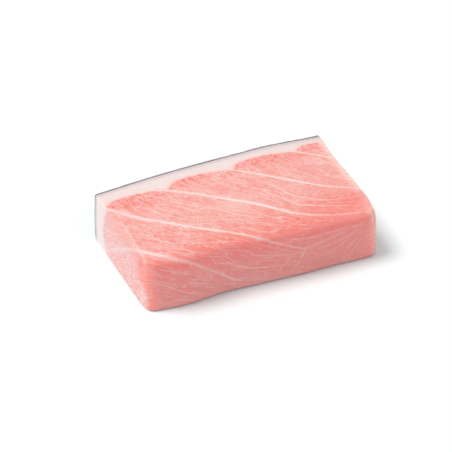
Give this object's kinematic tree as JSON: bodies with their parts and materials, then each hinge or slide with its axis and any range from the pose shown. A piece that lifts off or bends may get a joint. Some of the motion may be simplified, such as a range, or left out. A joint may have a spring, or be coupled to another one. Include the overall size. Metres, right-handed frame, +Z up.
{
  "type": "tuna belly sashimi block",
  "caption": "Block of raw bluefin tuna belly for sashimi, lying flat: marbled pink flesh with a lobed band of white fat and thin grey skin along its back.",
  "frame": {"origin": "middle of the block's footprint, on the surface it lies on", "axes": "+X along the block, +Y from the cut front to the skin, +Z up"},
  "size_m": [0.1526, 0.0902, 0.0381],
  "materials": {
    "flesh": "moist raw flesh, marbled",
    "fat": "moist white fat",
    "skin": "wet grey skin with small scales"
  },
  "bodies": {
    "root": {"flesh": "flesh", "fat_layer": "fat", "skin": "skin"}
  },
  "joints": []
}
